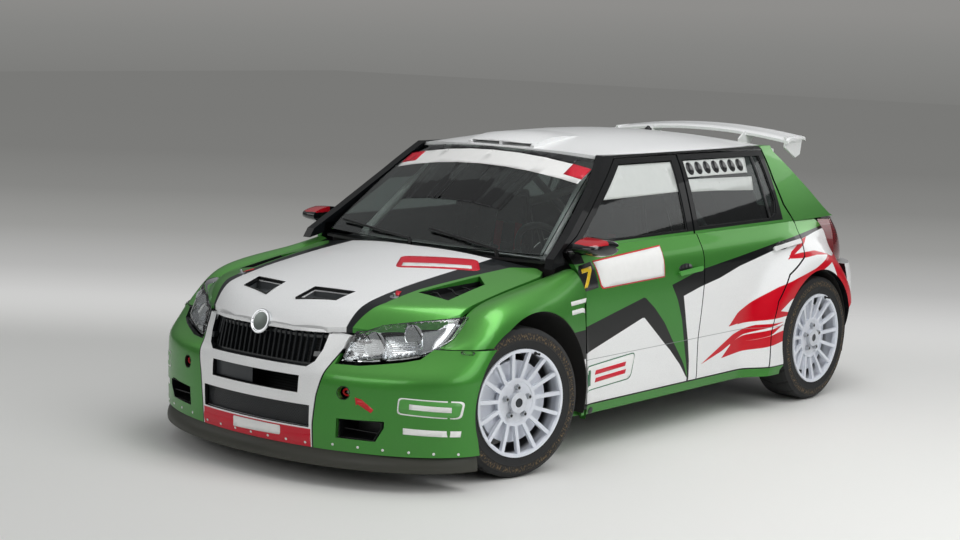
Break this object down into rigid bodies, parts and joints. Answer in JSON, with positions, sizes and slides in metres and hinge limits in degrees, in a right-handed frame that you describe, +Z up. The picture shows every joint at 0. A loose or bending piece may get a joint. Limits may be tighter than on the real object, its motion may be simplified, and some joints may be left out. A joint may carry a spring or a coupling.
{
  "type": "rally car",
  "caption": "Five-door hatchback rally car with flared arches, front splitter, roof scoop, rear wing, caged cabin, opening doors, bonnet and tailgate, steered front wheels.",
  "frame": {"origin": "middle of the bounding box in plan, on the ground under the tyres", "axes": "-Y is the nose, +X is the car's left side, +Z is up"},
  "size_m": [1.9046, 3.9997, 1.4065],
  "materials": {
    "alloy": "plate",
    "black_trim": "satin black",
    "body_paint": "metallic green and white paint",
    "cage_paint": "white painted tube",
    "dark_composite": "bare composite",
    "frame_paint": "black painted steel",
    "glass": "tinted",
    "lamp_clear": "clear cover",
    "lamp_red": "red lens",
    "seat_fabric": "dark seat cloth",
    "steel": "machined steel",
    "tyre": "rally tyre",
    "wheel_paint": "white painted cast wheel",
    "white_paint": "white paint"
  },
  "bodies": {
    "body": {"body_side_left": "body_paint", "body_side_right": "body_paint", "cowl": "black_trim", "dashboard": "black_trim", "engine": "alloy", "exhaust": "steel", "floor_pan": "frame_paint", "front_bumper": "body_paint", "front_suspension": "frame_paint", "front_wings": "body_paint", "grille": "black_trim", "headlamps": "lamp_clear", "radiator": "alloy", "rear_bumper": "body_paint", "rear_suspension": "frame_paint", "roll_cage": "cage_paint", "roof": "white_paint", "seats": "seat_fabric", "splitter": "dark_composite", "sump_guard": "alloy", "tail_lamps": "lamp_red", "wheel_housings": "black_trim", "windscreen": "glass", "wipers": "black_trim"},
    "wheel_front_left": {"tyre_front_left": "tyre", "rim_front_left": "wheel_paint"},
    "wheel_front_right": {"tyre_front_right": "tyre", "rim_front_right": "wheel_paint"},
    "wheel_rear_left": {"tyre_rear_left": "tyre", "rim_rear_left": "wheel_paint"},
    "wheel_rear_right": {"tyre_rear_right": "tyre", "rim_rear_right": "wheel_paint"},
    "knuckle_left": {"knuckle_front_left": "steel"},
    "knuckle_right": {"knuckle_front_right": "steel"},
    "front_door_left": {"door_front_left": "body_paint", "door_glass_front_left": "glass", "mirror_left": "black_trim"},
    "front_door_right": {"door_front_right": "body_paint", "door_glass_front_right": "glass", "mirror_right": "black_trim"},
    "rear_door_left": {"door_rear_left": "body_paint", "door_glass_rear_left": "glass"},
    "rear_door_right": {"door_rear_right": "body_paint", "door_glass_rear_right": "glass"},
    "bonnet_lid": {"bonnet": "body_paint"},
    "tailgate_lid": {"tailgate": "body_paint", "tailgate_glass": "glass", "rear_wing": "black_trim"},
    "steering": {"steering_wheel": "black_trim"}
  },
  "joints": [
    {"name": "steer_left", "type": "hinge", "parent": "body", "child": "knuckle_left", "pos_m": [0.792, -1.228, 0.325], "axis": [0, 0, 1], "range_deg": [-18, 42]},
    {"name": "steer_right", "type": "hinge", "parent": "body", "child": "knuckle_right", "pos_m": [-0.792, -1.228, 0.325], "axis": [0, 0, 1], "range_deg": [-18, 42]},
    {"name": "steering_turn", "type": "hinge", "parent": "body", "child": "steering", "pos_m": [0.36, -0.47, 0.812], "axis": [0, 0.9135, 0.4067], "range_deg": [-162, 378]},
    {"name": "wheel_front_left_spin", "type": "hinge", "parent": "knuckle_left", "child": "wheel_front_left", "pos_m": [0.792, -1.228, 0.325], "axis": [0.9781, -0.2079, 0], "continuous": true},
    {"name": "wheel_front_right_spin", "type": "hinge", "parent": "knuckle_right", "child": "wheel_front_right", "pos_m": [-0.792, -1.228, 0.325], "axis": [0.9781, -0.2079, 0], "continuous": true},
    {"name": "wheel_rear_left_spin", "type": "hinge", "parent": "body", "child": "wheel_rear_left", "pos_m": [0.792, 1.258, 0.325], "axis": [1, 0, 0], "continuous": true},
    {"name": "wheel_rear_right_spin", "type": "hinge", "parent": "body", "child": "wheel_rear_right", "pos_m": [-0.792, 1.258, 0.325], "axis": [1, 0, 0], "continuous": true},
    {"name": "door_front_left_hinge", "type": "hinge", "parent": "body", "child": "front_door_left", "pos_m": [0.83, -0.813, 0.6], "axis": [0, 0, -1], "range_deg": [0, 65]},
    {"name": "door_front_right_hinge", "type": "hinge", "parent": "body", "child": "front_door_right", "pos_m": [-0.83, -0.813, 0.6], "axis": [0, 0, 1], "range_deg": [0, 65]},
    {"name": "door_rear_left_hinge", "type": "hinge", "parent": "body", "child": "rear_door_left", "pos_m": [0.826, 0.24, 0.6], "axis": [0, 0, -1], "range_deg": [0, 65]},
    {"name": "door_rear_right_hinge", "type": "hinge", "parent": "body", "child": "rear_door_right", "pos_m": [-0.826, 0.24, 0.6], "axis": [0, 0, 1], "range_deg": [0, 65]},
    {"name": "bonnet_hinge", "type": "hinge", "parent": "body", "child": "bonnet_lid", "pos_m": [0, -0.861, 0.904], "axis": [-1, 0, 0], "range_deg": [0, 60]},
    {"name": "tailgate_hinge", "type": "hinge", "parent": "body", "child": "tailgate_lid", "pos_m": [0, 1.262, 1.33], "axis": [1, 0, 0], "range_deg": [0, 75]}
  ],
  "couplings": [
    {"joint": "steer_right", "follows": "steer_left", "ratio": 1},
    {"joint": "steering_turn", "follows": "steer_left", "ratio": 9}
  ]
}
